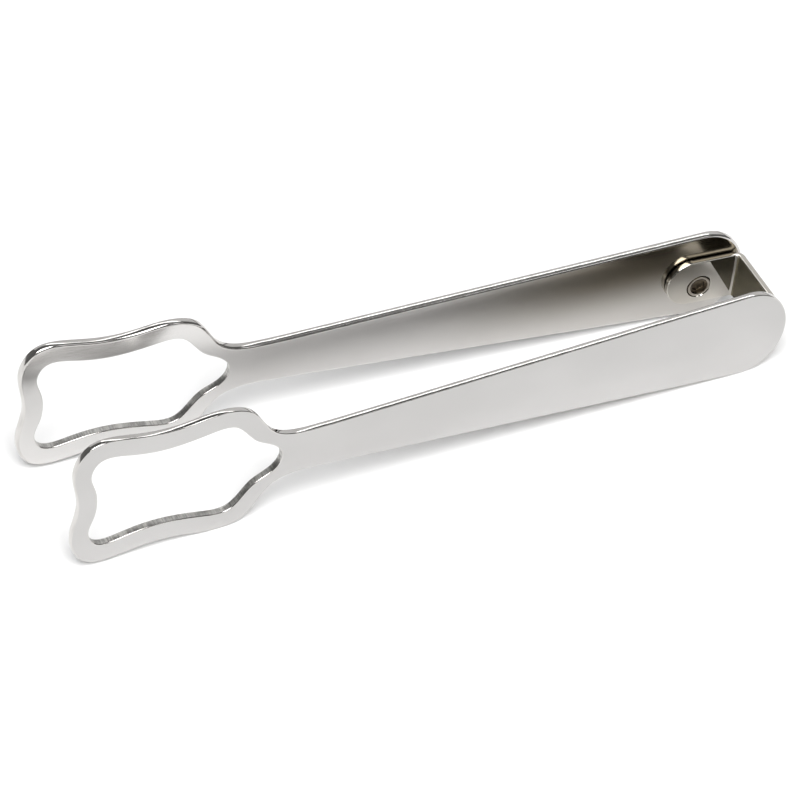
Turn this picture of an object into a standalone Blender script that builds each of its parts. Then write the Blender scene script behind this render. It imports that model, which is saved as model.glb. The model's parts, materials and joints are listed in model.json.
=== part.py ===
"""Spring tongs with two strip arms, open wavy loops and a bent spring bridge.

The tongs lie on edge, as they are put down on a table. +X runs back along the tongs from the loops to
the bridge, +Y runs across from the left arm to the right arm, and +Z is up. The origin is at the
bottom centre of the tongs' box. An arm is drawn flat first: its length runs forward from its rear tip
and its width is measured from its centre line. Metres throughout.
"""

from math import atan, cos, pi, radians, sin

import bmesh
import bpy
import numpy as np
from mathutils import Matrix, Vector

MM = 0.001

# Arms
ARM_LENGTH = 180.0 * MM          # rear tip to the middle of the loop's front
ARM_THICKNESS = 1.9 * MM
ARM_EDGE_RADIUS = 0.35 * MM
ARM_SPREAD = radians(1.8)        # how far each arm leans out from the mirror plane
REAR_GAP = 20.5 * MM             # between the arms' inner faces at their rear tips
HANDLE_HALF_WIDTH = 11.9 * MM
REAR_ROUND_LENGTH = 10.5 * MM    # the rear end is half an ellipse this long

# Half of the neck and loop outline, as (distance from the rear tip, distance from the centre line)
LOOP_OUTLINE_MM = [
    (112.9, 6.25), (121.3, 5.9),       # neck
    (132.8, 8.1), (138.9, 15.7),       # flare
    (146.3, 17.6), (153.3, 16.7),      # rear lobe
    (161.1, 16.3), (168.6, 17.3),      # waist of the long side
    (177.5, 16.9), (181.2, 10.7),      # front corner lobe
    (180.0, 0.0),                      # middle of the front
]
# Half of the hole inside the loop, measured the same way
HOLE_OUTLINE_MM = [
    (130.5, 0.0), (132.2, 3.4),        # rounded apex at the neck
    (137.0, 6.4), (142.8, 12.3),
    (149.4, 12.2), (158.4, 11.1),
    (167.9, 12.0), (175.5, 11.9),
    (177.0, 8.4), (175.9, 4.2),
    (175.3, 0.0),
]
REAR_STEPS = 10
LOOP_STEPS = 56
HOLE_STEPS = 44

# Spring bridge: one strip bent into a U
STRIP_THICKNESS = 1.5 * MM
STRIP_EDGE_RADIUS = 0.3 * MM
STRIP_HALF_HEIGHT = 6.3 * MM
STRIP_DROP = 0.6 * MM            # the strip sits a little under the arms' centre line
BEND_RADIUS = 1.6 * MM           # to the middle of the strip
PAD_END = 20.4 * MM              # the pads' rounded ends, from the arms' rear tips
WEB_REAR = 1.2 * MM              # the web's rear face, from the arms' rear tips
BEND_STEPS = 6
PAD_END_STEPS = 8

# Screws, with 90 degree countersunk heads
SCREW_FROM_REAR = 11.9 * MM
SCREW_DROP = 1.9 * MM            # the screws sit under the arms' centre line too
HEAD_RADIUS = 2.9 * MM
SHANK_RADIUS = 1.35 * MM
SCREW_LENGTH = 3.0 * MM
HEX_ACROSS_FLATS = 3.0 * MM
HEX_DEPTH = 0.9 * MM
SINK_RADIUS = 3.2 * MM           # the countersink's rim in the pad
ROUND_STEPS = 32
SMOOTH_ANGLE = radians(35)

GAP = 0.3 * MM                   # clearance between touching pieces

STAINLESS = (0.78, 0.78, 0.79, 1.0)
STAINLESS_ROUGHNESS = 0.12
SCREW_STEEL = (0.16, 0.14, 0.12, 1.0)
SCREW_ROUGHNESS = 0.32

# The flat web ends where the bends start, with the pads lying along the arms' inner faces.
WEB_X = -WEB_REAR - STRIP_THICKNESS / 2
BEND_X = WEB_X - BEND_RADIUS
BEND_INSET = (GAP + STRIP_THICKNESS / 2 + BEND_RADIUS + BEND_X * sin(ARM_SPREAD)) / cos(ARM_SPREAD)
HALF_WEB = REAR_GAP / 2 - BEND_INSET

# The web bends evenly, so each half of it works like a hinge at its own middle.
HINGE_Y = HALF_WEB / 2


def clear_scene():
    for obj in list(bpy.data.objects):
        bpy.data.objects.remove(obj, do_unlink=True)


def metal(name, colour, roughness):
    material = bpy.data.materials.new(name)
    material.use_nodes = True
    shader = material.node_tree.nodes["Principled BSDF"]
    shader.inputs["Base Color"].default_value = colour
    shader.inputs["Metallic"].default_value = 1.0
    shader.inputs["Roughness"].default_value = roughness
    return material


def add_object(name, bm, material=None):
    bmesh.ops.recalc_face_normals(bm, faces=bm.faces)
    mesh = bpy.data.meshes.new(name)
    bm.to_mesh(mesh)
    bm.free()
    mesh.shade_smooth()
    mesh.set_sharp_from_angle(angle=SMOOTH_ANGLE)
    obj = bpy.data.objects.new(name, mesh)
    bpy.context.scene.collection.objects.link(obj)
    if material:
        mesh.materials.append(material)
    return obj


def add_empty(name, parent=None, location=(0, 0, 0)):
    empty = bpy.data.objects.new(name, None)
    bpy.context.scene.collection.objects.link(empty)
    empty.parent = parent
    empty.location = location
    return empty


def smooth_curve(points, start_direction, end_direction, steps):
    """A cubic spline through the points, with its end directions given."""
    points = np.array(points, float)
    span = np.linalg.norm(np.diff(points, axis=0), axis=1)
    count = len(points)
    system = np.zeros((count, count))
    right = np.zeros((count, 2))
    system[0, 0] = 1
    system[-1, -1] = 1
    right[0] = start_direction
    right[-1] = end_direction
    for i in range(1, count - 1):
        before, after = span[i - 1], span[i]
        system[i, i - 1:i + 2] = after, 2 * (before + after), before
        rise_before = (points[i] - points[i - 1]) / before
        rise_after = (points[i + 1] - points[i]) / after
        right[i] = 3 * (after * rise_before + before * rise_after)
    slope = np.linalg.solve(system, right)

    along = np.concatenate(([0], np.cumsum(span)))
    result = []
    for distance in np.linspace(0, along[-1], steps + 1):
        i = min(int(np.searchsorted(along, distance, side="right")) - 1, count - 2)
        t = (distance - along[i]) / span[i]
        start, end = points[i], points[i + 1]
        leave, arrive = slope[i] * span[i], slope[i + 1] * span[i]
        result.append(
            start * (2 * t**3 - 3 * t**2 + 1)
            + leave * (t**3 - 2 * t**2 + t)
            + end * (3 * t**2 - 2 * t**3)
            + arrive * (t**3 - t**2)
        )
    return result


def mirrored_ring(half):
    """Closes a half outline, whose two ends lie on the centre line."""
    other = [(along, -across) for along, across in half[-2:0:-1]]
    return [tuple(point) for point in half] + other


def arm_outline():
    loop_points = np.array(LOOP_OUTLINE_MM) * MM
    side_start = np.array([REAR_ROUND_LENGTH, HANDLE_HALF_WIDTH])
    side = loop_points[0] - side_start
    side_direction = side / np.linalg.norm(side)
    rear = []
    for step in range(REAR_STEPS):
        angle = step / REAR_STEPS * pi / 2
        rear.append((REAR_ROUND_LENGTH * (1 - cos(angle)), HANDLE_HALF_WIDTH * sin(angle)))
    handle = [side_start, side_start + side / 2]
    loop = smooth_curve(loop_points, side_direction, (0, -1), LOOP_STEPS)
    return mirrored_ring(rear + handle + loop)


def hole_outline():
    return mirrored_ring(smooth_curve(np.array(HOLE_OUTLINE_MM) * MM, (0, 1), (0, -1), HOLE_STEPS))


def resting_lean(outline):
    """The angle that lets the handle's rear and the loop both touch the surface below."""
    rear = [p for p in outline if p[0] < ARM_LENGTH / 2]
    front = [p for p in outline if p[0] >= ARM_LENGTH / 2]
    slope = 0.0
    for _ in range(6):
        heel = min(rear, key=lambda p: p[1] - slope * p[0])
        toe = min(front, key=lambda p: p[1] - slope * p[0])
        slope = (toe[1] - heel[1]) / (toe[0] - heel[0])
    return -atan(slope)


def round_edges(obj, radius):
    bevel = obj.modifiers.new("Rounded edges", "BEVEL")
    bevel.width = radius
    bevel.segments = 2
    bevel.limit_method = "ANGLE"
    bevel.angle_limit = radians(50)


def cut(obj, cutter):
    cutter.hide_render = True
    cutter.display_type = "WIRE"
    boolean = obj.modifiers.new(cutter.name, "BOOLEAN")
    boolean.operation = "DIFFERENCE"
    boolean.object = cutter


def turned(name, profile, material=None):
    """Turns a profile of (radius, height) points, from one point of the +Y axis round to another."""
    bm = bmesh.new()
    rings = []
    for radius, height in profile:
        if radius == 0:
            rings.append([bm.verts.new((0, height, 0))])
            continue
        ring = []
        for step in range(ROUND_STEPS):
            angle = 2 * pi * step / ROUND_STEPS
            ring.append(bm.verts.new((radius * cos(angle), height, radius * sin(angle))))
        rings.append(ring)
    for lower, upper in zip(rings, rings[1:]):
        for step in range(ROUND_STEPS):
            after = (step + 1) % ROUND_STEPS
            if len(lower) == 1:
                bm.faces.new((lower[0], upper[step], upper[after]))
            elif len(upper) == 1:
                bm.faces.new((lower[step], lower[after], upper[0]))
            else:
                bm.faces.new((lower[step], lower[after], upper[after], upper[step]))
    return add_object(name, bm, material)


def arm_mesh_object(name, material):
    """A flat arm in the XZ plane, rear tip at the origin, inner face on y = 0, body towards -Y."""
    bm = bmesh.new()
    rim_edges = []
    for outline in (arm_outline(), hole_outline()):
        ring = [bm.verts.new((-along, 0, across)) for along, across in outline]
        for vertex, following in zip(ring, ring[1:] + ring[:1]):
            rim_edges.append(bm.edges.new((vertex, following)))
    plate = bmesh.ops.triangle_fill(bm, use_beauty=True, use_dissolve=False, edges=rim_edges)
    plate_faces = [item for item in plate["geom"] if isinstance(item, bmesh.types.BMFace)]
    raised = bmesh.ops.extrude_face_region(bm, geom=plate_faces, use_keep_orig=True)
    raised_vertices = [item for item in raised["geom"] if isinstance(item, bmesh.types.BMVert)]
    bmesh.ops.translate(bm, verts=raised_vertices, vec=(0, -ARM_THICKNESS, 0))
    arm = add_object(name, bm, material)
    round_edges(arm, ARM_EDGE_RADIUS)
    return arm


def strip_path():
    """Half of the bridge's centre line, from the middle of the web to the left pad's end.

    Each station is a point, the direction across the strip's thickness, and the half height there.
    """
    bend_centre = Vector((BEND_X, -HALF_WEB, 0))
    bend_angle = pi / 2 - ARM_SPREAD
    stations = [(Vector((WEB_X, 0, 0)), Vector((1, 0, 0)), STRIP_HALF_HEIGHT)]
    for step in range(BEND_STEPS + 1):
        angle = -bend_angle * step / BEND_STEPS
        outward = Vector((cos(angle), sin(angle), 0))
        stations.append((bend_centre + BEND_RADIUS * outward, outward, STRIP_HALF_HEIGHT))
    forward = Vector((-cos(ARM_SPREAD), -sin(ARM_SPREAD), 0))
    pad_start = stations[-1][0]
    pad_length = PAD_END + pad_start.x / cos(ARM_SPREAD)
    straight = pad_length - STRIP_HALF_HEIGHT
    for step in range(PAD_END_STEPS):
        angle = step / PAD_END_STEPS * pi / 2
        reach = straight + STRIP_HALF_HEIGHT * sin(angle)
        height = STRIP_HALF_HEIGHT * cos(angle)
        stations.append((pad_start + reach * forward, outward, height))
    return stations, pad_start + pad_length * forward


def bridge_object(material):
    """The U strip: four rails of vertices follow the path, and each pad's tip closes with a fan."""
    half, tip_point = strip_path()
    bm = bmesh.new()

    def section(point, outward, height):
        corners = []
        for side in (-0.5, 0.5):
            for z in (-height, height):
                corner = point + side * STRIP_THICKNESS * outward
                corners.append(bm.verts.new((corner.x, corner.y, z)))
        inner_low, inner_high, outer_low, outer_high = corners
        return inner_low, inner_high, outer_high, outer_low

    def flip(vector):
        return Vector((vector.x, -vector.y, vector.z))

    mirrored = [(flip(point), flip(outward), height) for point, outward, height in half[:0:-1]]
    sections = [section(*station) for station in mirrored + half]
    for one, two in zip(sections, sections[1:]):
        for i in range(4):
            j = (i + 1) % 4
            bm.faces.new((one[i], one[j], two[j], two[i]))
    outward = half[-1][1]
    for end, point, across in (
        (sections[-1], tip_point, outward),
        (sections[0], flip(tip_point), flip(outward)),
    ):
        inner_tip = bm.verts.new(point - 0.5 * STRIP_THICKNESS * across)
        outer_tip = bm.verts.new(point + 0.5 * STRIP_THICKNESS * across)
        inner_low, inner_high, outer_high, outer_low = end
        bm.faces.new((inner_low, inner_high, inner_tip))
        bm.faces.new((outer_low, outer_high, outer_tip))
        bm.faces.new((inner_high, outer_high, outer_tip, inner_tip))
        bm.faces.new((inner_low, outer_low, outer_tip, inner_tip))
    bridge = add_object("spring_bridge", bm, material)
    round_edges(bridge, STRIP_EDGE_RADIUS)
    return bridge


def screw_frame(side):
    """Places a turned screw or cutter: its y = 0 at a pad's inner face, +Y running into the arm."""
    into_arm = Vector((sin(ARM_SPREAD), side * cos(ARM_SPREAD), 0))
    forward = Vector((-cos(ARM_SPREAD), side * sin(ARM_SPREAD), 0))
    rear_tip = Vector((0, side * REAR_GAP / 2, 0))
    head = rear_tip + SCREW_FROM_REAR * forward - (GAP + STRIP_THICKNESS) * into_arm
    head.z = -SCREW_DROP
    turn = into_arm.to_track_quat("Y", "Z").to_matrix().to_4x4()
    return Matrix.Translation(head) @ turn


def screw_object(name, material):
    """A countersunk screw standing on +Y, with its head face at y = 0 and a hexagonal socket."""
    screw = turned(name, [
        (0, 0),
        (HEAD_RADIUS, 0),
        (SHANK_RADIUS, HEAD_RADIUS - SHANK_RADIUS),
        (SHANK_RADIUS, SCREW_LENGTH),
        (0, SCREW_LENGTH),
    ], material)
    bm = bmesh.new()
    bmesh.ops.create_cone(
        bm,
        cap_ends=True,
        segments=6,
        radius1=HEX_ACROSS_FLATS / 2 / cos(pi / 6),
        radius2=HEX_ACROSS_FLATS / 2 / cos(pi / 6),
        depth=2 * HEX_DEPTH,
        matrix=Matrix.Rotation(pi / 2, 4, "X"),
    )
    return screw, add_object(name + "_socket_cutter", bm)


def build():
    clear_scene()
    steel = metal("polished_stainless", STAINLESS, STAINLESS_ROUGHNESS)
    dark_steel = metal("dark_screw_steel", SCREW_STEEL, SCREW_ROUGHNESS)

    tongs = add_empty("tongs")
    bridge = bridge_object(steel)
    bridge.data.transform(Matrix.Translation((0, 0, -STRIP_DROP)))
    bridge.parent = tongs
    hole_radius = SHANK_RADIUS + GAP

    for side_name, side in (("left", -1), ("right", 1)):
        hinge_place = Vector((WEB_X, side * HINGE_Y, 0))
        hinge = add_empty(side_name + "_hinge", tongs, hinge_place)
        to_hinge = Matrix.Translation(-hinge_place)

        arm = arm_mesh_object(side_name + "_arm", steel)
        lean = Matrix.Rotation(side * ARM_SPREAD * -1, 4, "Z")
        mirror = Matrix.Scale(-side, 4, Vector((0, 1, 0)))
        rear_tip = Matrix.Translation((0, side * REAR_GAP / 2, 0))
        arm.data.transform(to_hinge @ rear_tip @ lean @ mirror)
        if side > 0:
            arm.data.flip_normals()
        arm.parent = hinge

        place = screw_frame(side)
        screw, socket_cutter = screw_object(side_name + "_screw", dark_steel)
        pad_cutter = turned(side_name + "_countersink_cutter", [
            (0, -GAP),
            (SINK_RADIUS + GAP, -GAP),
            (hole_radius, SINK_RADIUS - hole_radius),
            (hole_radius, STRIP_THICKNESS + 2 * GAP),
            (0, STRIP_THICKNESS + 2 * GAP),
        ])
        blind_hole_cutter = turned(side_name + "_blind_hole_cutter", [
            (0, STRIP_THICKNESS + GAP / 2),
            (hole_radius, STRIP_THICKNESS + GAP / 2),
            (hole_radius, SCREW_LENGTH + GAP),
            (0, SCREW_LENGTH + GAP),
        ])
        for piece in (screw, socket_cutter, pad_cutter, blind_hole_cutter):
            piece.data.transform(to_hinge @ place)
            piece.parent = hinge
        cut(screw, socket_cutter)
        cut(bridge, pad_cutter)
        cut(arm, blind_hole_cutter)

    stand_on_edge(tongs)


def stand_on_edge(tongs):
    """Leans the tongs so that the arms rest on heel and loop, then puts their box on the origin."""
    tongs.rotation_euler.y = resting_lean(arm_outline())
    low, high = world_box()
    tongs.location = (-(low.x + high.x) / 2, -(low.y + high.y) / 2, -low.z)
    bpy.context.view_layer.update()


def world_box():
    bpy.context.view_layer.update()
    depsgraph = bpy.context.evaluated_depsgraph_get()
    corners = []
    for obj in bpy.data.objects:
        if obj.type != "MESH" or obj.hide_render:
            continue
        evaluated = obj.evaluated_get(depsgraph)
        mesh = evaluated.to_mesh()
        corners += [evaluated.matrix_world @ vertex.co for vertex in mesh.vertices]
        evaluated.to_mesh_clear()
    low = Vector([min(corner[axis] for corner in corners) for axis in range(3)])
    high = Vector([max(corner[axis] for corner in corners) for axis in range(3)])
    return low, high


build()
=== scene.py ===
"""Polished spring tongs lying on edge on a white table.

The arms, the spring bridge and the screws are drawn again here as fine meshes over the fixed frame.
An arm and the bridge are drawn flat first, as (along, across, depth): along the strip, across its
width, and through its thickness. Metres throughout.
"""

import json
from math import cos, floor, pi, radians, sin, tan

import bmesh
import bpy
import numpy as np
from mathutils import Matrix, Vector


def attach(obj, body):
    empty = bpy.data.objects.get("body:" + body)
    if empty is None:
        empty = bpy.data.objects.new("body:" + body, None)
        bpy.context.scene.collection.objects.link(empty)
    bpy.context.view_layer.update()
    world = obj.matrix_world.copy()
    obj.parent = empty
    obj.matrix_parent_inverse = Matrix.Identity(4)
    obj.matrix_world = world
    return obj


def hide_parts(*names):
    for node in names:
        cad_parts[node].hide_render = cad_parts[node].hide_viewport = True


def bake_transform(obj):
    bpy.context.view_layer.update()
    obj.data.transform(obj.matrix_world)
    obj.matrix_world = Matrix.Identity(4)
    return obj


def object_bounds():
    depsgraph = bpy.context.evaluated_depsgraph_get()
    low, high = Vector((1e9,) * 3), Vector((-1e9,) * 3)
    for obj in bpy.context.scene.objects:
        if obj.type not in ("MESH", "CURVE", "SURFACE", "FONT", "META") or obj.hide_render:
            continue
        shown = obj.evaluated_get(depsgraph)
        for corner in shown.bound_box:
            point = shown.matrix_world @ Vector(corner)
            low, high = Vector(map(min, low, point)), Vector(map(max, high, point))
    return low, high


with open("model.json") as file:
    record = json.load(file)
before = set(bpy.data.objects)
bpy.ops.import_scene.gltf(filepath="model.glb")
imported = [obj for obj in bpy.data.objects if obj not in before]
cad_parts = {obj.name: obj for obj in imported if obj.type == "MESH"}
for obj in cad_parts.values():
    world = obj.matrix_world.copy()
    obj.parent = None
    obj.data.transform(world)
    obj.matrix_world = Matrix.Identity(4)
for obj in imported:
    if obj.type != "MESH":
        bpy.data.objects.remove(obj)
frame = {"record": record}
cad_low, cad_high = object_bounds()

MM = 0.001

# Arms
ARM_THICKNESS = 1.9 * MM
ARM_INNER_EDGE_RADIUS = 0.62 * MM    # the inner edges are polished rounder than the outer ones
ARM_OUTER_EDGE_RADIUS = 0.25 * MM
ARM_EDGE_CROWN = radians(7)          # how far the edges are domed by polishing
HOLE_EDGE_RADIUS = 0.25 * MM
ARM_SPREAD = radians(1.8)
REAR_GAP = 20.5 * MM
HANDLE_HALF_WIDTH = 11.9 * MM
REAR_ROUND_LENGTH = 10.5 * MM

# Half of the neck and loop outline, as (distance from the rear tip, distance from the centre line)
LOOP_OUTLINE_MM = [
    (112.9, 6.25), (121.3, 5.9),       # neck
    (132.8, 8.1), (138.9, 15.7),       # flare
    (146.3, 17.6), (153.3, 16.7),      # rear lobe
    (161.1, 16.3), (168.6, 17.3),      # waist of the long side
    (177.5, 16.9), (181.2, 10.7),      # front corner lobe
    (180.0, 0.0),                      # middle of the front
]
# Half of the hole inside the loop, measured the same way
HOLE_OUTLINE_MM = [
    (130.5, 0.0), (132.2, 3.4),        # rounded apex at the neck
    (137.0, 6.4), (142.8, 12.3),
    (149.4, 12.2), (158.4, 11.1),
    (167.9, 12.0), (175.5, 11.9),
    (177.0, 8.4), (175.9, 4.2),
    (175.3, 0.0),
]
REAR_STEPS = 40
HANDLE_STEPS = 60
LOOP_STEPS = 260
HOLE_STEPS = 200

# Spring bridge
STRIP_THICKNESS = 1.5 * MM
STRIP_EDGE_RADIUS = 0.3 * MM
STRIP_EDGE_CROWN = radians(5)
STRIP_HALF_HEIGHT = 6.3 * MM
STRIP_DROP = 0.6 * MM
BEND_RADIUS = 1.6 * MM
PAD_END = 20.4 * MM
WEB_REAR = 1.2 * MM
WEB_STEPS = 16
BEND_STEPS = 20
PAD_STEPS = 10
PAD_END_STEPS = 64

# Screws
SCREW_FROM_REAR = 11.9 * MM
SCREW_DROP = 1.9 * MM
HEAD_RADIUS = 2.95 * MM
SHANK_RADIUS = 1.35 * MM
SCREW_LENGTH = 3.0 * MM
THREAD_PITCH = 0.5 * MM
THREAD_ROOT_RADIUS = 1.27 * MM
THREAD_HEIGHT = 0.12 * MM
THREAD_RUNOUT = 0.15 * MM            # plain stretch at the shank's end
THREAD_STEPS = 36
SHANK_TIP_CHAMFER = 0.25 * MM
UNDERHEAD_CORNER = 0.05 * MM
HEAD_LAND = 0.12 * MM                # cylindrical rim above the head's cone
HEX_SIDES = 6
HEX_ACROSS_FLATS = 3.0 * MM
HEX_DEPTH = 0.9 * MM
HEX_TIP_DEPTH = 0.35 * MM            # how far the drilled middle goes below the hexagon
HEX_FLOOR_CORNER = 0.1 * MM
HEX_FLOOR_SHARE = 0.93               # the floor's radius, as a share of the flats' one
HEX_CORNER_SHARE = 0.97              # the corner above it, as a share of the hexagon
HEX_TOP = 0.42 * MM                  # the hexagon starts this far below the head's face
# The dished recess round the hexagon and its brim, as (radius, depth below the head's face)
RECESS_MM = [(1.80, 0.36), (2.22, 0.10), (2.27, 0.04), (2.37, 0.0)]
# The rounded edge of the head, as (distance inside the head's radius, depth below its face)
HEAD_EDGE_MM = [(0.22, 0.0), (0.10, 0.02), (0.03, 0.05), (0.0, 0.09)]
# painted highlight: the bands below are given a lighter colour
HIGHLIGHT_RINGS = range(6, 9)             # the bands of the head between the brim and the edge
SHARP_ANGLE = radians(32)

# Holes
SINK_RADIUS = 3.2 * MM
SOFT_CORNER = 0.06 * MM              # how far small corners are broken
SOFT_CORNER_STEPS = 3
LIP = 0.3 * MM                       # flat ring of the face that is drawn with a hole
CIRCLE_STEPS = 96

GAP = 0.3 * MM                       # between pieces that touch
EDGE_STEPS = 6                       # in each rounded corner of a strip's edge

mounts = {mount["name"]: mount for mount in frame["record"]["mounts"]}
RIGHT, LEFT = 1, -1


def tongs_frame():
    """The tongs' own axes, as they lean on the table: back, across to the right arm, and up."""
    rear_face = mounts["bridge_rear_face"]
    back = Vector(rear_face["axis"]).normalized()
    across = Vector((0, 1, 0))
    up = back.cross(across)
    origin = Vector(rear_face["pos_m"]) + WEB_REAR * back
    return Matrix.Translation(origin) @ Matrix((back, across, up)).transposed().to_4x4()


TONGS = tongs_frame()


def add_object(name, data):
    added = bpy.data.objects.new(name, data)
    bpy.context.scene.collection.objects.link(added)
    return added


# Mesh building

class Shell:
    """A surface drawn flat: vertices with their exact normals, and faces with a finish number."""

    def __init__(self):
        self.points = []
        self.normals = []
        self.faces = []
        self.finishes = []

    def vertex(self, point, normal):
        self.points.append(Vector(point))
        self.normals.append(Vector(normal).normalized())
        return len(self.points) - 1

    def face(self, corners, finish=0):
        self.faces.append(tuple(corners))
        self.finishes.append(finish)

    def sweep(self, path, profile, closed, finishes):
        """Carries a profile of (inset, depth, outward, through) along a path of (point, outward)."""
        grid = []
        for point, outward in path:
            column = []
            for inset, depth, out, through in profile:
                place = point - inset * outward
                normal = (out * outward.x, out * outward.y, through)
                column.append(self.vertex((place.x, place.y, depth), normal))
            grid.append(column)
        following = grid[1:] + grid[:1] if closed else grid[1:]
        for one, two in zip(grid, following):
            for j, finish in enumerate(finishes):
                self.face((one[j], one[j + 1], two[j + 1], two[j]), finish)
        return grid

    def fill(self, rings, finish=0):
        """Triangulates the flat region between closed rings of vertices."""
        bm = bmesh.new()
        index_of = {}
        edges = []
        for ring in rings:
            corners = []
            for index in ring:
                point = self.points[index]
                corner = bm.verts.new((point.x, point.y, 0))
                index_of[corner] = index
                corners.append(corner)
            for corner, following in zip(corners, corners[1:] + corners[:1]):
                edges.append(bm.edges.new((corner, following)))
        filled = bmesh.ops.triangle_fill(bm, use_beauty=True, use_dissolve=False, edges=edges)
        for item in filled["geom"]:
            if isinstance(item, bmesh.types.BMFace):
                self.face([index_of[corner] for corner in item.verts], finish)
        bm.free()

    def fan(self, ring, centre, normal, finish=0):
        tip = self.vertex(centre, normal)
        for corner, following in zip(ring, ring[1:] + ring[:1]):
            self.face((corner, following, tip), finish)

    def build(self, name, place, materials):
        """Puts the drawn surface in the world: place(point, normal) gives both there."""
        placed = [place(point, normal) for point, normal in zip(self.points, self.normals)]
        points = [point for point, _ in placed]
        normals = [normal for _, normal in placed]
        faces = []
        for corners in self.faces:
            a, b, c = (points[index] for index in corners[:3])
            facing = sum((normals[index] for index in corners), Vector())
            faces_inward = (b - a).cross(c - b).dot(facing) < 0
            faces.append(corners[::-1] if faces_inward else corners)
        mesh = bpy.data.meshes.new(name)
        mesh.from_pydata(points, [], faces)
        mesh.polygons.foreach_set("material_index", self.finishes)
        mesh.shade_smooth()
        mesh.normals_split_custom_set_from_vertices(normals)
        for material in materials:
            mesh.materials.append(material)
        return add_object(name, mesh)


def rounded_rim(thickness, inner_radius, outer_radius, crown):
    """The edge of a strip: two rounded corners and a slightly domed middle between them."""
    corners = (inner_radius + outer_radius) * (1 - sin(crown))
    dome = (thickness - corners) / (2 * sin(crown))
    middle = inner_radius * (1 - sin(crown)) + dome * sin(crown)
    shoulder = dome * (1 - cos(crown))
    corner_angles = []
    for step in range(EDGE_STEPS + 1):
        corner_angles.append(crown + (pi / 2 - crown) * step / EDGE_STEPS)
    profile = [(0.0, middle, 1.0, 0.0)]
    for radius, side in ((inner_radius, -1), (outer_radius, 1)):
        half = []
        for angle in corner_angles:
            inset = shoulder + radius * (cos(crown) - cos(angle))
            rise = dome * sin(crown) + radius * (sin(angle) - sin(crown))
            half.append((inset, middle + side * rise, cos(angle), side * sin(angle)))
        profile = half[::-1] + profile if side < 0 else profile + half
    return profile


def softened(corners, radius):
    """A profile along straight lines between corners, as (inset, depth), with each corner rounded."""
    corners = [Vector(corner) for corner in corners]
    profile = []

    def lay(point, direction):
        profile.append((point.x, point.y, direction.y, direction.x))

    lines = [(b - a).normalized() for a, b in zip(corners, corners[1:])]
    lay(corners[0], lines[0])
    for corner, arriving, leaving in zip(corners[1:-1], lines, lines[1:]):
        turn = arriving.angle_signed(leaving)
        reach = radius * tan(abs(turn) / 2)
        for step in range(SOFT_CORNER_STEPS + 1):
            share = step / SOFT_CORNER_STEPS
            direction = arriving.slerp(leaving, share)
            before = corner - reach * arriving
            after = corner + reach * leaving
            point = before * (1 - share) ** 2 + corner * 2 * share * (1 - share) + after * share ** 2
            lay(point, direction)
    lay(corners[-1], lines[-1])
    return profile


def smooth_curve(points, start_direction, end_direction, steps):
    """A cubic spline through the points, with its end directions given."""
    points = np.array(points, float)
    span = np.linalg.norm(np.diff(points, axis=0), axis=1)
    count = len(points)
    system = np.zeros((count, count))
    right = np.zeros((count, 2))
    system[0, 0] = 1
    system[-1, -1] = 1
    right[0] = start_direction
    right[-1] = end_direction
    for i in range(1, count - 1):
        before, after = span[i - 1], span[i]
        system[i, i - 1:i + 2] = after, 2 * (before + after), before
        rise_before = (points[i] - points[i - 1]) / before
        rise_after = (points[i + 1] - points[i]) / after
        right[i] = 3 * (after * rise_before + before * rise_after)
    slope = np.linalg.solve(system, right)

    along = np.concatenate(([0], np.cumsum(span)))
    result = []
    for distance in np.linspace(0, along[-1], steps + 1):
        i = min(int(np.searchsorted(along, distance, side="right")) - 1, count - 2)
        t = (distance - along[i]) / span[i]
        start, end = points[i], points[i + 1]
        leave, arrive = slope[i] * span[i], slope[i + 1] * span[i]
        point = (
            start * (2 * t**3 - 3 * t**2 + 1)
            + leave * (t**3 - 2 * t**2 + t)
            + end * (3 * t**2 - 2 * t**3)
            + arrive * (t**3 - t**2)
        )
        result.append(Vector(point))
    return result


def mirrored_ring(half):
    """Closes a half outline, whose two ends lie on the centre line."""
    return half + [Vector((point.x, -point.y)) for point in half[-2:0:-1]]


def with_outward(ring, sense):
    """Pairs each point of a closed ring with the direction out of the material there."""
    path = []
    for before, point, after in zip(ring[-1:] + ring[:-1], ring, ring[1:] + ring[:1]):
        along = (point - before).normalized() + (after - point).normalized()
        path.append((point, sense * Vector((-along.y, along.x)).normalized()))
    return path


def circle(centre, sense):
    """A path of one point with directions all round it, for profiles whose inset is a radius."""
    path = []
    for step in range(CIRCLE_STEPS):
        angle = 2 * pi * step / CIRCLE_STEPS
        path.append((Vector(centre), sense * Vector((cos(angle), sin(angle)))))
    return path


# Arms

def arm_outline():
    loop_points = np.array(LOOP_OUTLINE_MM) * MM
    neck = Vector(loop_points[0])
    slope = (neck.y - HANDLE_HALF_WIDTH) / (neck.x - REAR_ROUND_LENGTH)
    last_angle = pi / 2 - slope * REAR_ROUND_LENGTH / HANDLE_HALF_WIDTH
    rear = []
    for step in range(REAR_STEPS + 1):
        angle = step / REAR_STEPS * last_angle
        rear.append(Vector((REAR_ROUND_LENGTH * (1 - cos(angle)), HANDLE_HALF_WIDTH * sin(angle))))
    handle = [rear[-1].lerp(neck, step / HANDLE_STEPS) for step in range(1, HANDLE_STEPS)]
    side = (neck - rear[-1]).normalized()
    loop = smooth_curve(loop_points, side, (0, -1), LOOP_STEPS)
    return mirrored_ring(rear + handle + loop)


def hole_outline():
    return mirrored_ring(smooth_curve(np.array(HOLE_OUTLINE_MM) * MM, (0, 1), (0, -1), HOLE_STEPS))


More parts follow.
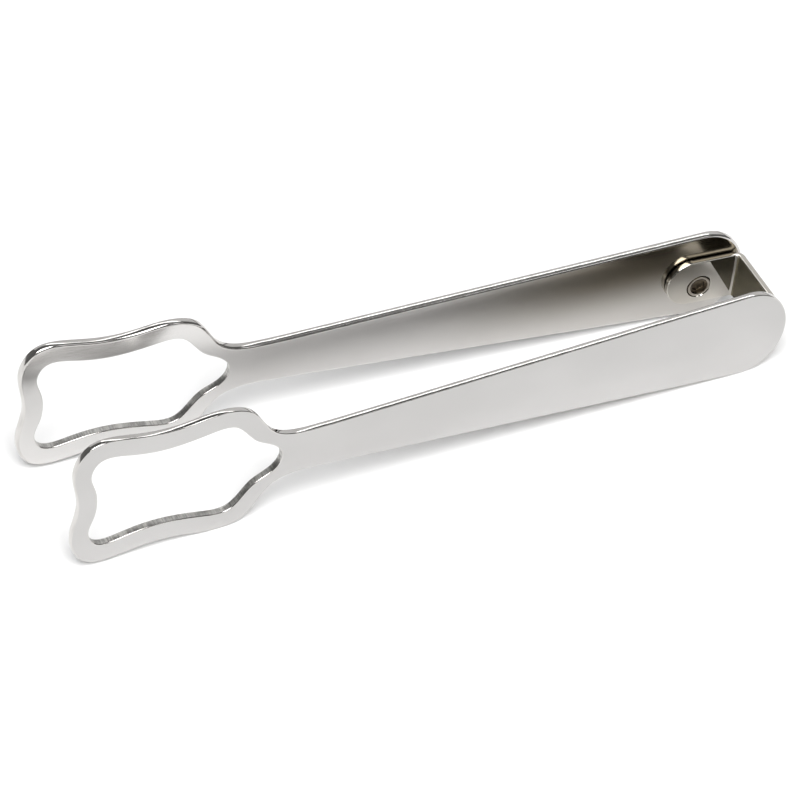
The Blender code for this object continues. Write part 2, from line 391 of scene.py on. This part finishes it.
def arm_place(side):
    """Takes a point drawn on the flat arm, with depth 0 on its inner face, to the world."""
    forward = Vector((-cos(ARM_SPREAD), side * sin(ARM_SPREAD), 0))
    outward = Vector((sin(ARM_SPREAD), side * cos(ARM_SPREAD), 0))
    rear_tip = Vector((0, side * REAR_GAP / 2, 0))
    turn = TONGS.to_3x3() @ Matrix((forward, Vector((0, 0, 1)), outward)).transposed()
    origin = TONGS @ rear_tip
    return lambda point, normal: (origin + turn @ point, turn @ normal)


def arm_shell():
    shell = Shell()
    face, edge, punched, inner_face = range(4)
    rim = rounded_rim(
        ARM_THICKNESS, ARM_INNER_EDGE_RADIUS, ARM_OUTER_EDGE_RADIUS, ARM_EDGE_CROWN)
    outer = shell.sweep(with_outward(arm_outline(), 1), rim, True, [edge] * (len(rim) - 1))

    hole_rim = rounded_rim(ARM_THICKNESS, HOLE_EDGE_RADIUS, HOLE_EDGE_RADIUS, ARM_EDGE_CROWN)
    corner = len(hole_rim) // 2 - 1
    hole_finishes = [edge] * corner + [punched] * 2 + [edge] * corner
    hole = shell.sweep(with_outward(hole_outline(), -1), hole_rim, True, hole_finishes)

    blind_radius = SHANK_RADIUS + GAP
    blind_depth = SCREW_LENGTH - STRIP_THICKNESS
    screw_centre = (SCREW_FROM_REAR, -SCREW_DROP)
    wall = softened(
        [(blind_radius + LIP, 0), (blind_radius, 0), (blind_radius, blind_depth)], SOFT_CORNER)
    blind = shell.sweep(circle(screw_centre, -1), wall, True, [edge] * (len(wall) - 1))

    shell.fill([[column[0] for column in grid] for grid in (outer, hole, blind)], inner_face)
    shell.fill([[column[-1] for column in grid] for grid in (outer, hole)], face)
    shell.fan([column[-1] for column in blind], (*screw_centre, blind_depth), (0, 0, -1), edge)
    return shell


# Spring bridge

class StripPath:
    """Half of the bridge's centre line, from the middle of its web to the end of one pad."""

    def __init__(self):
        self.web_x = -WEB_REAR - STRIP_THICKNESS / 2
        self.bend_x = self.web_x - BEND_RADIUS
        inset = GAP + STRIP_THICKNESS / 2 + BEND_RADIUS + self.bend_x * sin(ARM_SPREAD)
        self.half_web = REAR_GAP / 2 - inset / cos(ARM_SPREAD)
        self.bend_angle = pi / 2 - ARM_SPREAD
        self.pad_start = self.half_web + BEND_RADIUS * self.bend_angle
        start, _ = self.at(self.pad_start)
        self.end = self.pad_start + PAD_END + start.x / cos(ARM_SPREAD)

    def at(self, along):
        """The point on the centre line and the direction out of the U there, for the right half."""
        if along <= self.half_web:
            return Vector((self.web_x, along, 0)), Vector((1, 0, 0))
        angle = min((along - self.half_web) / BEND_RADIUS, self.bend_angle)
        outward = Vector((cos(angle), sin(angle), 0))
        point = Vector((self.bend_x, self.half_web, 0)) + BEND_RADIUS * outward
        straight = max(along - self.half_web - BEND_RADIUS * self.bend_angle, 0.0)
        return point + straight * Vector((-sin(angle), cos(angle), 0)), outward

    def place(self, side):
        """Takes a point drawn on the flat strip, with depth 0 on its inner face, to the world."""
        turn = TONGS.to_3x3()

        def placed(point, normal):
            centre, outward = self.at(point.x)
            tangent = Vector((-outward.y, outward.x, 0))
            local = centre + (point.z - STRIP_THICKNESS / 2) * outward
            local.z = point.y - STRIP_DROP
            facing = normal.x * tangent + normal.z * outward
            facing.z = normal.y
            local.y *= side
            facing.y *= side
            return TONGS @ local, turn @ facing

        return placed

    def screw_centre(self):
        """Where the screw stands on the flat strip."""
        start, outward = self.at(self.pad_start)
        forward = Vector((-outward.y, outward.x, 0))
        rear_tip = Vector((0, REAR_GAP / 2, 0))
        reach = SCREW_FROM_REAR - (start - rear_tip).dot(forward)
        return self.pad_start + reach, STRIP_DROP - SCREW_DROP


def strip_shell(strip):
    """Half of the bridge, and the two columns of its rim that lie in the web's middle."""
    shell = Shell()
    face, web_shade = range(2)
    up = Vector((0, 1))
    round_centre = Vector((strip.end - STRIP_HALF_HEIGHT, 0))
    spans = (
        (0.0, strip.half_web, WEB_STEPS),
        (strip.half_web, strip.pad_start, BEND_STEPS),
        (strip.pad_start, round_centre.x, PAD_STEPS),
    )
    along = [0.0]
    for start, end, steps in spans:
        along += [start + (end - start) * step / steps for step in range(1, steps + 1)]
    top = [(Vector((distance, STRIP_HALF_HEIGHT)), up) for distance in along]
    bottom = [(Vector((distance, -STRIP_HALF_HEIGHT)), -up) for distance in along[::-1]]
    tip = []
    for step in range(1, PAD_END_STEPS):
        angle = pi / 2 - pi * step / PAD_END_STEPS
        outward = Vector((cos(angle), sin(angle)))
        tip.append((round_centre + STRIP_HALF_HEIGHT * outward, outward))

    rim = rounded_rim(STRIP_THICKNESS, STRIP_EDGE_RADIUS, STRIP_EDGE_RADIUS, STRIP_EDGE_CROWN)
    grid = shell.sweep(top + tip + bottom, rim, False, [face] * (len(rim) - 1))
    bent = WEB_STEPS + BEND_STEPS
    # the inside of the web and of half of each bend gets the near-black painted shade
    web_shade_steps = WEB_STEPS + BEND_STEPS // 2
    inner_side, outer_side = 0, -1
    for side in (inner_side, outer_side):
        for i in range(bent):
            top_near, top_far = grid[i], grid[i + 1]
            bottom_near, bottom_far = grid[-1 - i], grid[-2 - i]
            finish = web_shade if side == inner_side and i < web_shade_steps else face
            shell.face((top_near[side], top_far[side], bottom_far[side], bottom_near[side]), finish)

    sink = softened([
        (SINK_RADIUS + LIP, 0),
        (SINK_RADIUS, 0),
        (SINK_RADIUS - STRIP_THICKNESS, STRIP_THICKNESS),
        (SINK_RADIUS - STRIP_THICKNESS + LIP, STRIP_THICKNESS),
    ], SOFT_CORNER)
    hole = shell.sweep(circle(strip.screw_centre(), -1), sink, True, [face] * (len(sink) - 1))
    pad = grid[bent:len(grid) - bent]
    for side in (inner_side, outer_side):
        shell.fill([[column[side] for column in pad], [column[side] for column in hole]])

    return shell, (grid[0], grid[-1])


def cap_middle(shell, middle):
    """Closes the flat end where this half of the bridge meets the other one."""
    ring = middle[0] + middle[1][::-1]
    corners = []
    for index in ring:
        corners.append(shell.vertex(shell.points[index], (-1, 0, 0)))
    shell.face(corners)


# Screws

def hexagon_radius(angle):
    sector = 2 * pi / HEX_SIDES
    offset = (angle + sector / 2) % sector - sector / 2
    return HEX_ACROSS_FLATS / 2 / cos(offset)


def thread_radius(angle, depth, start, end):
    """The shank's radius: a V thread that fades out at both ends."""
    turns = depth / THREAD_PITCH - angle / (2 * pi)
    wave = 1 - abs(2 * (turns - floor(turns)) - 1)
    fade = min(1.0, (depth - start) / THREAD_PITCH * 2, (end - depth) / THREAD_PITCH * 2)
    return THREAD_ROOT_RADIUS + THREAD_HEIGHT * wave * max(fade, 0.0)


def screw_profile():
    """The screw's outline from its socket round to its tip, as (radius at an angle, depth)."""
    underhead = HEAD_RADIUS - SHANK_RADIUS + HEAD_LAND
    thread_end = SCREW_LENGTH - THREAD_RUNOUT
    profile = [
        (lambda angle: HEX_FLOOR_SHARE * HEX_ACROSS_FLATS / 2, HEX_DEPTH),
        (lambda angle: HEX_CORNER_SHARE * hexagon_radius(angle), HEX_DEPTH - HEX_FLOOR_CORNER / 2),
        (hexagon_radius, HEX_DEPTH - HEX_FLOOR_CORNER),
        (hexagon_radius, HEX_TOP),
    ]
    turned = [(radius * MM, depth * MM) for radius, depth in RECESS_MM]
    turned += [(HEAD_RADIUS - inside * MM, depth * MM) for inside, depth in HEAD_EDGE_MM]
    turned += [
        (HEAD_RADIUS, HEAD_LAND),
        (SHANK_RADIUS + UNDERHEAD_CORNER, underhead - UNDERHEAD_CORNER),
    ]
    profile += [(lambda angle, radius=radius: radius, depth) for radius, depth in turned]
    for step in range(THREAD_STEPS + 1):
        depth = underhead + (thread_end - underhead) * step / THREAD_STEPS
        profile.append(
            (lambda angle, depth=depth: thread_radius(angle, depth, underhead, thread_end), depth))
    profile.append((lambda angle: SHANK_RADIUS - SHANK_TIP_CHAMFER, SCREW_LENGTH))
    return profile


def screw_object(name, side, materials):
    """A countersunk socket screw, its axis through the arm and its face level with the pad's."""
    place = arm_place(side)
    bm = bmesh.new()
    head = Vector((SCREW_FROM_REAR, -SCREW_DROP, -GAP - STRIP_THICKNESS))

    def corner(radius, angle, depth):
        local = head + Vector((radius * cos(angle), radius * sin(angle), depth))
        return bm.verts.new(place(local, Vector((0, 0, 1)))[0])

    angles = [2 * pi * step / CIRCLE_STEPS for step in range(CIRCLE_STEPS)]
    rings = []
    for radius_at, depth in screw_profile():
        rings.append([corner(radius_at(angle), angle, depth) for angle in angles])
    plain, highlighted = range(2)
    for number, (one, two) in enumerate(zip(rings, rings[1:])):
        for i in range(CIRCLE_STEPS):
            j = (i + 1) % CIRCLE_STEPS
            band = bm.faces.new((one[i], one[j], two[j], two[i]))
            band.material_index = highlighted if number in HIGHLIGHT_RINGS else plain
    for ring, depth in ((rings[0], HEX_DEPTH + HEX_TIP_DEPTH), (rings[-1], SCREW_LENGTH)):
        centre = corner(0, 0, depth)
        for i in range(CIRCLE_STEPS):
            bm.faces.new((ring[i], ring[(i + 1) % CIRCLE_STEPS], centre))
    bmesh.ops.recalc_face_normals(bm, faces=bm.faces)
    mesh = bpy.data.meshes.new(name)
    bm.to_mesh(mesh)
    bm.free()
    mesh.shade_smooth()
    mesh.set_sharp_from_angle(angle=SHARP_ANGLE)
    for material in materials:
        mesh.materials.append(material)
    return add_object(name, mesh)


# Materials

class Finish:
    """A metal whose colour, roughness and relief come from noise over the piece."""

    def __init__(self, name, metallic=1.0):
        self.material = bpy.data.materials.new(name)
        self.material.use_nodes = True
        self.nodes = self.material.node_tree.nodes
        self.links = self.material.node_tree.links
        self.shader = self.nodes["Principled BSDF"]
        self.shader.inputs["Metallic"].default_value = metallic
        self.place = self.nodes.new("ShaderNodeTexCoord").outputs["Object"]

    def noise(self, stretch, detail=3.0, roughness=0.55, distortion=0.0, offset=0.0):
        """Noise with this many waves per metre along X, Y and Z."""
        mapping = self.nodes.new("ShaderNodeMapping")
        mapping.inputs["Scale"].default_value = stretch
        mapping.inputs["Location"].default_value = (offset, offset, offset)
        self.links.new(self.place, mapping.inputs["Vector"])
        noise = self.nodes.new("ShaderNodeTexNoise")
        noise.inputs["Scale"].default_value = 1.0
        noise.inputs["Detail"].default_value = detail
        noise.inputs["Roughness"].default_value = roughness
        noise.inputs["Distortion"].default_value = distortion
        self.links.new(mapping.outputs["Vector"], noise.inputs["Vector"])
        return noise.outputs["Fac"]

    def ramp(self, value, low, high, out_low, out_high):
        node = self.nodes.new("ShaderNodeMapRange")
        node.interpolation_type = "SMOOTHSTEP"
        node.inputs["From Min"].default_value = low
        node.inputs["From Max"].default_value = high
        node.inputs["To Min"].default_value = out_low
        node.inputs["To Max"].default_value = out_high
        self.links.new(value, node.inputs["Value"])
        return node.outputs["Result"]

    def math(self, operation, one, two):
        node = self.nodes.new("ShaderNodeMath")
        node.operation = operation
        for value, socket in zip((one, two), node.inputs):
            if isinstance(value, (int, float)):
                socket.default_value = value
            else:
                self.links.new(value, socket)
        return node.outputs["Value"]

    def mixed(self, share, first, second):
        """Goes from the first colour, a plain one or a socket, to the plain second one."""
        node = self.nodes.new("ShaderNodeMix")
        node.data_type = "RGBA"
        node.inputs["B"].default_value = (*second, 1)
        if isinstance(first, tuple):
            node.inputs["A"].default_value = (*first, 1)
        else:
            self.links.new(first, node.inputs["A"])
        self.links.new(share, node.inputs["Factor"])
        return node.outputs["Result"]

    def colour(self, value):
        self.links.new(value, self.shader.inputs["Base Color"])

    def roughness(self, value):
        self.links.new(value, self.shader.inputs["Roughness"])

    def relief(self, layers):
        """Stacks bumps of (height, metres)."""
        normal = None
        for height, distance in layers:
            bump = self.nodes.new("ShaderNodeBump")
            bump.inputs["Strength"].default_value = 1.0
            bump.inputs["Distance"].default_value = distance
            self.links.new(height, bump.inputs["Height"])
            if normal:
                self.links.new(normal, bump.inputs["Normal"])
            normal = bump.outputs["Normal"]
        self.links.new(normal, self.shader.inputs["Normal"])


# How an arm's inner face is coloured along it: lighter on the loop as painted light, and darker
# beside the bridge, more so higher up, as painted shade
LOOP_TO_HANDLE_X = (-55 * MM, -30 * MM)
HANDLE_TO_SHADE_X = (0.0, 65 * MM)
LOWER_TO_UPPER_Z = (5 * MM, 19 * MM)
# painted light: the lighter colour of the loops' inner faces
LOOP_PAINTED_LIGHT_COLOUR = (0.67, 0.66, 0.65)
# painted shade: the dark colour of the inner face beside the bridge
BRIDGE_PAINTED_SHADE_COLOUR = (0.25, 0.222, 0.175)


def polished_face(name, dark, light, inner):
    """A flat face of an arm, belt polished lengthwise. An inner face is lighter on the loop, as
    painted light, and darker beside the bridge, more so higher up, as painted shade."""
    finish = Finish(name)
    tone = finish.ramp(finish.noise((30, 30, 55), 2.0), 0.35, 0.65, 0.0, 1.0)
    bright = finish.mixed(tone, dark, light)
    if inner:
        split = finish.nodes.new("ShaderNodeSeparateXYZ")
        finish.links.new(finish.place, split.inputs["Vector"])
        # painted light: the inner face is lighter towards the loop
        frontward = finish.ramp(split.outputs["X"], *LOOP_TO_HANDLE_X, 0.7, 0.0)
        bright = finish.mixed(frontward, bright, LOOP_PAINTED_LIGHT_COLOUR)
        # painted shade: the inner face is darker beside the bridge, more so higher up
        rearward = finish.ramp(split.outputs["X"], *HANDLE_TO_SHADE_X, 0.0, 1.0)
        upward = finish.ramp(split.outputs["Z"], *LOWER_TO_UPPER_Z, 0.25, 1.0)
        painted_shade_share = finish.math("MULTIPLY", rearward, upward)
        finish.colour(finish.mixed(painted_shade_share, bright, BRIDGE_PAINTED_SHADE_COLOUR))
    else:
        finish.colour(bright)
    lines = finish.noise((60, 60, 5200), 2.0, 0.6)
    smudge = finish.ramp(finish.noise((55, 55, 90), 3.0, 0.6, 0.8, 3.1), 0.5, 0.72, 0.0, 0.035)
    rough = finish.ramp(lines, 0.3, 0.75, 0.10, 0.15)
    finish.roughness(finish.math("ADD", rough, smudge))
    wave = finish.noise((45, 45, 75), 1.0)
    finish.relief([(wave, 0.00004), (lines, 0.0000012)])
    return finish.material


def polished_edge():
    """The rounded edges, polished along the outline."""
    finish = Finish("polished_stainless_edge")
    tone = finish.ramp(finish.noise((240, 900, 240), 2.0), 0.35, 0.65, 0.0, 1.0)
    finish.colour(finish.mixed(tone, (0.54, 0.525, 0.508), (0.62, 0.605, 0.588)))
    lines = finish.noise((260, 7000, 260), 2.0)
    finish.roughness(finish.ramp(lines, 0.3, 0.7, 0.05, 0.11))
    wave = finish.noise((190, 500, 190), 2.0)
    finish.relief([(wave, 0.00003)])
    return finish.material


def punched_edge():
    """The cut wall inside the loops: fine marks run through the thickness."""
    finish = Finish("punched_stainless_edge")
    marks = finish.noise((2600, 180, 2600), 3.0, 0.6)
    patches = finish.noise((300, 300, 300), 2.0)
    blend = finish.math("MULTIPLY", marks, patches)
    tone = finish.ramp(blend, 0.14, 0.36, 0.0, 1.0)
    finish.colour(finish.mixed(tone, (0.29, 0.284, 0.274), (0.60, 0.59, 0.57)))
    finish.roughness(finish.ramp(patches, 0.3, 0.7, 0.30, 0.45))
    finish.relief([(marks, 0.00002), (patches, 0.00008)])
    return finish.material


def spring_strip():
    """The bridge: bright mirror-polished spring strip."""
    finish = Finish("polished_spring_strip_face")
    tone = finish.ramp(finish.noise((90, 90, 140), 2.0), 0.35, 0.65, 0.0, 1.0)
    finish.colour(finish.mixed(tone, (0.58, 0.555, 0.510), (0.62, 0.595, 0.550)))
    lines = finish.noise((300, 300, 6500), 2.0)
    haze = finish.ramp(finish.noise((160, 160, 160), 3.0), 0.45, 0.75, 0.0, 0.03)
    finish.roughness(finish.math("ADD", finish.ramp(lines, 0.3, 0.7, 0.025, 0.05), haze))
    finish.relief([(finish.noise((110, 110, 110), 1.0), 0.00003)])
    return finish.material


def painted_shade_web():
    """The inside of the bridge's web: painted shade, near-black, with faint rolling lines."""
    finish = Finish("shaded_spring_strip_face")
    tone = finish.ramp(finish.noise((260, 110, 620), 3.0), 0.3, 0.7, 0.0, 1.0)
    # painted shade: a near-black colour for the web's inside
    finish.colour(finish.mixed(tone, (0.106, 0.095, 0.062), (0.130, 0.116, 0.079)))
    finish.roughness(finish.ramp(finish.noise((700, 260, 5200), 2.0), 0.3, 0.7, 0.16, 0.26))
    finish.relief([(finish.noise((700, 700, 700), 2.0), 0.000006)])
    return finish.material


def screw_steel(name, dark, light, rough):
    """The screws: dark plating, and on the flat of the head a brighter copy as a painted highlight.
    """
    finish = Finish(name)
    grain = finish.noise((1500, 1500, 1500), 3.0)
    wear = finish.ramp(finish.noise((420, 420, 420), 3.0), 0.4, 0.7, 0.0, 1.0)
    finish.colour(finish.mixed(wear, dark, light))
    finish.roughness(finish.ramp(grain, 0.3, 0.7, rough, 1.5 * rough))
    finish.relief([(grain, 0.000003)])
    return finish.material


# The object

def make_tongs():
    # painted shade: the outer faces get a darker colour than the inner faces of the same steel
    outer_face = polished_face(
        "polished_stainless_outer_face", (0.495, 0.487, 0.480), (0.525, 0.517, 0.510), False)
    inner_face = polished_face(
        "polished_stainless_inner_face", (0.565, 0.553, 0.541), (0.595, 0.583, 0.571), True)
    arm_materials = [outer_face, polished_edge(), punched_edge(), inner_face]
    strip_materials = [spring_strip(), painted_shade_web()]
    screw_materials = [
        screw_steel("dark_screw_steel_face", (0.07, 0.054, 0.036), (0.12, 0.098, 0.070), 0.26),
        # painted highlight: the brighter colour of the head's flat ring
        screw_steel("highlight_screw_steel_face", (0.38, 0.345, 0.295), (0.50, 0.46, 0.41), 0.10),
    ]
    strip = StripPath()
    for name, side in (("left", LEFT), ("right", RIGHT)):
        arm = arm_shell().build(name + "_arm_strip", arm_place(side), arm_materials)
        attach(arm, name)
        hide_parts(name + "_arm")

        shell, middle = strip_shell(strip)
        cap_middle(shell, middle)
        half = shell.build("spring_bridge_" + name + "_half", strip.place(side), strip_materials)
        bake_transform(half)
        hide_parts("spring_bridge")

        screw = screw_object(name + "_socket_screw", side, screw_materials)
        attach(screw, name)
        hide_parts(name + "_screw")


# The stage

FLOOR_HALF_SIZE = 4.0


def make_floor():
    bm = bmesh.new()
    bmesh.ops.create_grid(bm, x_segments=2, y_segments=2, size=FLOOR_HALF_SIZE)
    mesh = bpy.data.meshes.new("table")
    bm.to_mesh(mesh)
    bm.free()
    finish = Finish("white_table", metallic=0.0)
    tone = finish.ramp(finish.noise((3, 3, 3), 2.0), 0.3, 0.7, 0.0, 1.0)
    finish.colour(finish.mixed(tone, (0.87, 0.87, 0.87), (0.89, 0.89, 0.89)))
    finish.shader.inputs["Roughness"].default_value = 0.7
    finish.shader.inputs["Specular IOR Level"].default_value = 0.2
    mesh.materials.append(finish.material)
    table = add_object("table", mesh)


def direction(azimuth, elevation):
    """From the object towards a light: azimuth 0 is the side that the view comes from, 90 is +X."""
    azimuth, elevation = radians(azimuth), radians(elevation)
    level = cos(elevation)
    return Vector((sin(azimuth) * level, -cos(azimuth) * level, sin(elevation)))


def softbox(name, azimuth, elevation, distance, width, height, radiance):
    """A rectangular light that faces the object, with the same radiance from any distance."""
    light = bpy.data.lights.new(name, "AREA")
    light.shape = "RECTANGLE"
    light.size = width
    light.size_y = height
    light.energy = radiance * pi * width * height
    lamp = add_object(name, light)
    towards = direction(azimuth, elevation)
    lamp.location = towards * distance
    lamp.rotation_mode = "QUATERNION"
    lamp.rotation_quaternion = towards.to_track_quat("Z", "Y")


def make_world():
    """A dim room, a little paler near the horizon; the softboxes give most of the light."""
    world = bpy.data.worlds.new("studio")
    bpy.context.scene.world = world
    world.use_nodes = True
    nodes, links = world.node_tree.nodes, world.node_tree.links
    place = nodes.new("ShaderNodeTexCoord")
    split = nodes.new("ShaderNodeSeparateXYZ")
    links.new(place.outputs["Generated"], split.inputs["Vector"])
    ramp = nodes.new("ShaderNodeValToRGB")
    links.new(split.outputs["Z"], ramp.inputs["Fac"])
    levels = ((0.0, 0.40), (0.08, 0.19), (0.5, 0.14), (1.0, 0.14))
    elements = ramp.color_ramp.elements
    while len(elements) < len(levels):
        elements.new(0.5)
    for element, (height, level) in zip(elements, levels):
        element.position = height
        element.color = (level, level, level * 0.99, 1)
    background = nodes["Background"]
    links.new(ramp.outputs["Color"], background.inputs["Color"])
    background.inputs["Strength"].default_value = 1.0


def make_lights():
    make_world()
    softbox("key_softbox", azimuth=-24, elevation=60, distance=2.3,
            width=1.8, height=1.55, radiance=9.0)
    softbox("back_strip", azimuth=153, elevation=45.5, distance=2.0,
            width=1.0, height=0.20, radiance=2.4)
    softbox("back_wall", azimuth=160, elevation=27, distance=2.5,
            width=4.6, height=1.9, radiance=0.62)
    softbox("front_fill", azimuth=32, elevation=41, distance=2.2,
            width=0.5, height=0.5, radiance=1.9)
    softbox("overhead", azimuth=153, elevation=81, distance=2.2,
            width=1.7, height=1.1, radiance=0.30)


CAMERA_AZIMUTH = -26.88
CAMERA_ELEVATION = 42.62
CAMERA_ROLL = 4.06
CAMERA_DISTANCE = 1.0311
CAMERA_LENS = 202.9
AIM_FROM_CENTRE = Vector((-4.9, -3.99, -6.27)) * MM


def make_camera():
    data = bpy.data.cameras.new("camera")
    data.lens = CAMERA_LENS
    data.sensor_width = 36.0
    data.clip_start = 0.05
    data.clip_end = 50.0
    camera = add_object("camera", data)
    back = direction(CAMERA_AZIMUTH, CAMERA_ELEVATION)
    aim = (cad_low + cad_high) / 2 + AIM_FROM_CENTRE
    upright = (-back).to_track_quat("-Z", "Y").to_matrix()
    roll = Matrix.Rotation(radians(CAMERA_ROLL), 3, "Z")
    camera.matrix_world = Matrix.Translation(aim + CAMERA_DISTANCE * back) @ (upright @ roll).to_4x4()
    bpy.context.scene.camera = camera


make_camera()
make_tongs()
make_floor()
make_lights()
bpy.context.scene.view_settings.view_transform = "Standard"
